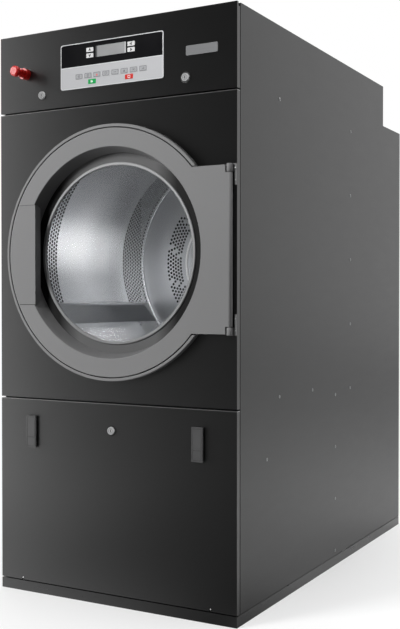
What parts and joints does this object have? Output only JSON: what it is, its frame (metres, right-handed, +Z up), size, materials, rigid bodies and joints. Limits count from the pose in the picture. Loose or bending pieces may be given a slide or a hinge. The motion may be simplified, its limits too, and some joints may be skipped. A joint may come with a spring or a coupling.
{
  "type": "commercial tumble dryer",
  "caption": "Floor-standing commercial tumble dryer with a round glass door, stainless drum, keypad fascia, service door and stepped rear cabinet.",
  "frame": {"origin": "on the floor, at the middle of the machine's overall footprint", "axes": "+X to the right of someone facing the door, +Y towards the back, +Z up"},
  "size_m": [0.799, 1.51, 1.651],
  "materials": {
    "black_panel": "semi-gloss black powder coat",
    "grey_panel": "satin dark grey powder coat",
    "plinth_paint": "satin dark grey paint",
    "door_paint": "satin mid grey powder coat",
    "handle_paint": "satin mid grey powder coat",
    "glass": "clear tempered glass",
    "trim_steel": "satin stainless",
    "seal_rubber": "black silicone rubber",
    "galvanised": "galvanised sheet",
    "drum_steel": "brushed stainless, perforated",
    "lifter_steel": "brushed stainless",
    "machined_steel": "turned steel",
    "cast_metal": "painted cast iron",
    "motor_paint": "blue grey enamel",
    "fan_steel": "galvanised fan wheel",
    "element_steel": "heat-tinted tube",
    "belt_rubber": "ribbed belt",
    "gland_plastic": "black nylon",
    "cup_plastic": "moulded dark grey",
    "keypad_film": "satin printed film on a moulded body",
    "display": "clear window over a grey display",
    "plate_metal": "blank brushed plate",
    "lock_chrome": "satin nickel",
    "stop_red": "gloss red",
    "key_white": "satin white",
    "key_grey": "satin light grey",
    "key_green": "satin green",
    "key_red": "satin red",
    "drawer_steel": "zinc plated frame with fine mesh"
  },
  "bodies": {
    "cabinet": {"base_plinth": "plinth_paint", "side_panel_left": "grey_panel", "side_panel_right": "grey_panel", "top_panel": "grey_panel", "rear_cover": "grey_panel", "door_panel": "black_panel", "front_bulkhead": "galvanised", "rear_bulkhead": "galvanised", "door_trim_ring": "door_paint", "hinge_brackets": "door_paint", "lint_housing": "galvanised", "fan_housing": "galvanised", "fan_motor": "motor_paint", "heater_box": "galvanised", "heater_elements": "element_steel", "bearing_housing": "cast_metal", "drum_bearings": "machined_steel", "drive_motor": "motor_paint", "drive_belt": "belt_rubber", "control_box": "galvanised", "power_gland": "gland_plastic", "side_screws": "grey_panel"},
    "fascia": {"control_fascia": "black_panel", "keypad_panel": "keypad_film", "display_window": "display", "name_plate": "plate_metal", "e_stop_base": "stop_red"},
    "e_stop": {"e_stop_button": "stop_red"},
    "lock_upper_left": {"upper_lock_left": "lock_chrome"},
    "lock_upper_right": {"upper_lock_right": "lock_chrome"},
    "service_door": {"service_door": "black_panel", "pull_handles": "cup_plastic"},
    "lock_lower": {"lower_lock": "lock_chrome"},
    "drawer": {"lint_drawer": "drawer_steel"},
    "door": {"door_ring": "door_paint", "door_glass": "glass", "glass_trim_ring": "trim_steel", "door_gasket": "seal_rubber", "door_handle": "handle_paint"},
    "drum": {"drum_shell": "drum_steel", "drum_rear_plate": "drum_steel", "lifters": "lifter_steel", "drum_shaft": "machined_steel", "drum_pulley": "cast_metal"},
    "motor_rotor": {"motor_pulley": "machined_steel"},
    "fan_wheel": {"fan_impeller": "fan_steel"},
    "key_up_cap": {"key_up": "key_white"},
    "key_down_cap": {"key_down": "key_white"},
    "key_left_cap": {"key_left": "key_white"},
    "key_right_cap": {"key_right": "key_white"},
    "start_key_cap": {"start_key": "key_green"},
    "stop_key_cap": {"stop_key": "key_red"},
    "program_key_1_cap": {"program_key_1": "key_grey"},
    "program_key_2_cap": {"program_key_2": "key_grey"},
    "program_key_3_cap": {"program_key_3": "key_grey"},
    "program_key_4_cap": {"program_key_4": "key_grey"},
    "program_key_5_cap": {"program_key_5": "key_grey"},
    "program_key_6_cap": {"program_key_6": "key_grey"},
    "program_key_7_cap": {"program_key_7": "key_grey"},
    "program_key_8_cap": {"program_key_8": "key_grey"}
  },
  "joints": [
    {"name": "door_hinge", "type": "hinge", "parent": "cabinet", "child": "door", "pos_m": [0.38, -0.704, 1], "axis": [0, 0, 1], "range_deg": [0, 160]},
    {"name": "drum_spin", "type": "hinge", "parent": "cabinet", "child": "drum", "pos_m": [0, 0.155, 1], "axis": [0, 1, 0], "continuous": true},
    {"name": "motor_spin", "type": "hinge", "parent": "cabinet", "child": "motor_rotor", "pos_m": [-0.25, 0.255, 0.59], "axis": [0, 1, 0], "continuous": true},
    {"name": "fan_spin", "type": "hinge", "parent": "cabinet", "child": "fan_wheel", "pos_m": [-0.06, 0.305, 0.255], "axis": [0, 1, 0], "continuous": true},
    {"name": "fascia_hinge", "type": "hinge", "parent": "cabinet", "child": "fascia", "pos_m": [0, -0.6765, 1.648], "axis": [-1, 0, 0], "range_deg": [0, 75]},
    {"name": "service_tilt", "type": "hinge", "parent": "cabinet", "child": "service_door", "pos_m": [0, -0.692, 0.035], "axis": [1, 0, 0], "range_deg": [0, 80]},
    {"name": "drawer_slide", "type": "slide", "parent": "cabinet", "child": "drawer", "axis": [0, -1, 0], "range_m": [0, 0.42]},
    {"name": "lock_upper_left_turn", "type": "hinge", "parent": "fascia", "child": "lock_upper_left", "pos_m": [-0.242, -0.695, 1.467], "axis": [0, 1, 0], "range_deg": [0, 90]},
    {"name": "lock_upper_right_turn", "type": "hinge", "parent": "fascia", "child": "lock_upper_right", "pos_m": [0.242, -0.695, 1.467], "axis": [0, 1, 0], "range_deg": [0, 90]},
    {"name": "lock_lower_turn", "type": "hinge", "parent": "service_door", "child": "lock_lower", "pos_m": [0, -0.695, 0.498], "axis": [0, -1, 0], "range_deg": [0, 90]},
    {"name": "e_stop_push", "type": "slide", "parent": "fascia", "child": "e_stop", "axis": [0, 1, 0], "range_m": [0, 0.005]},
    {"name": "key_up_press", "type": "slide", "parent": "fascia", "child": "key_up_cap", "axis": [0, 1, 0], "range_m": [0, 0.0005], "stiffness_N_per_m": 400},
    {"name": "key_down_press", "type": "slide", "parent": "fascia", "child": "key_down_cap", "axis": [0, 1, 0], "range_m": [0, 0.0005], "stiffness_N_per_m": 400},
    {"name": "key_left_press", "type": "slide", "parent": "fascia", "child": "key_left_cap", "axis": [0, 1, 0], "range_m": [0, 0.0005], "stiffness_N_per_m": 400},
    {"name": "key_right_press", "type": "slide", "parent": "fascia", "child": "key_right_cap", "axis": [0, 1, 0], "range_m": [0, 0.0005], "stiffness_N_per_m": 400},
    {"name": "start_key_press", "type": "slide", "parent": "fascia", "child": "start_key_cap", "axis": [0, 1, 0], "range_m": [0, 0.0005], "stiffness_N_per_m": 400},
    {"name": "stop_key_press", "type": "slide", "parent": "fascia", "child": "stop_key_cap", "axis": [0, 1, 0], "range_m": [0, 0.0005], "stiffness_N_per_m": 400},
    {"name": "program_key_1_press", "type": "slide", "parent": "fascia", "child": "program_key_1_cap", "axis": [0, 1, 0], "range_m": [0, 0.0005], "stiffness_N_per_m": 400},
    {"name": "program_key_2_press", "type": "slide", "parent": "fascia", "child": "program_key_2_cap", "axis": [0, 1, 0], "range_m": [0, 0.0005], "stiffness_N_per_m": 400},
    {"name": "program_key_3_press", "type": "slide", "parent": "fascia", "child": "program_key_3_cap", "axis": [0, 1, 0], "range_m": [0, 0.0005], "stiffness_N_per_m": 400},
    {"name": "program_key_4_press", "type": "slide", "parent": "fascia", "child": "program_key_4_cap", "axis": [0, 1, 0], "range_m": [0, 0.0005], "stiffness_N_per_m": 400},
    {"name": "program_key_5_press", "type": "slide", "parent": "fascia", "child": "program_key_5_cap", "axis": [0, 1, 0], "range_m": [0, 0.0005], "stiffness_N_per_m": 400},
    {"name": "program_key_6_press", "type": "slide", "parent": "fascia", "child": "program_key_6_cap", "axis": [0, 1, 0], "range_m": [0, 0.0005], "stiffness_N_per_m": 400},
    {"name": "program_key_7_press", "type": "slide", "parent": "fascia", "child": "program_key_7_cap", "axis": [0, 1, 0], "range_m": [0, 0.0005], "stiffness_N_per_m": 400},
    {"name": "program_key_8_press", "type": "slide", "parent": "fascia", "child": "program_key_8_cap", "axis": [0, 1, 0], "range_m": [0, 0.0005], "stiffness_N_per_m": 400}
  ],
  "couplings": [
    {"joint": "motor_spin", "follows": "drum_spin", "ratio": 8},
    {"joint": "drawer_slide", "follows": "service_tilt", "m_per_rad": 0.3}
  ]
}
